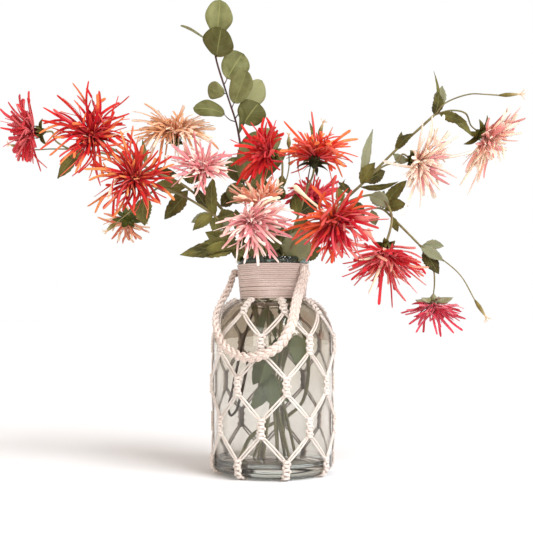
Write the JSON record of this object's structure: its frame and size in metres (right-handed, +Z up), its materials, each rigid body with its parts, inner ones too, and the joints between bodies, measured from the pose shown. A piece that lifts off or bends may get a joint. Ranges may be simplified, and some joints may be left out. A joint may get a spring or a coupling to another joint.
{
  "type": "dahlias in a jar",
  "caption": "Spider dahlias and a eucalyptus branch standing in a wide glass jar that is wrapped in a knotted cotton net with a cord collar and a plaited carrying handle.",
  "frame": {"origin": "middle of the underside, on the flat gathering disc of the net below the jar", "axes": "+Z up along the jar's axis, +X to the right of the arrangement seen from its front, +Y to its back"},
  "size_m": [0.7892, 0.2651, 0.719],
  "materials": {
    "clear_glass": "clear pressed glass with a faint green-grey tint",
    "cotton_cord": "matt twisted natural cotton cord",
    "green_stem": "dry matt olive green",
    "eucalyptus": "waxy grey-green leaves on a dark red-brown twig",
    "petal_crimson": "soft matt, deep crimson",
    "petal_red": "soft matt, bright red with orange tips",
    "petal_peach": "soft matt, peach and cream with a salmon middle",
    "petal_pink": "soft matt, pink with pale tips",
    "petal_apricot": "soft matt, apricot"
  },
  "bodies": {
    "root": {"jar_glass": "clear_glass", "cord_collar": "cotton_cord", "macrame_net": "cotton_cord", "carry_handle": "cotton_cord", "stem_left_far": "green_stem", "stem_left_near": "green_stem", "stem_left_inner": "green_stem", "stem_centre_back": "green_stem", "stem_front": "green_stem", "stem_centre_right": "green_stem", "stem_front_right": "green_stem", "stem_right_far": "green_stem", "stem_right_arc": "green_stem", "stem_right_low": "green_stem", "eucalyptus_branch": "eucalyptus", "bloom_01": "petal_crimson", "bloom_02": "petal_red", "bloom_03": "petal_red", "bloom_04": "petal_peach", "bloom_05": "petal_pink", "bloom_06": "petal_apricot", "bloom_07": "petal_red", "bloom_08": "petal_pink", "bloom_09": "petal_peach", "bloom_10": "petal_red", "bloom_11": "petal_crimson", "bloom_12": "petal_red", "bloom_13": "petal_red", "bloom_14": "petal_peach", "bloom_15": "petal_peach", "bloom_16": "petal_crimson"}
  },
  "joints": []
}
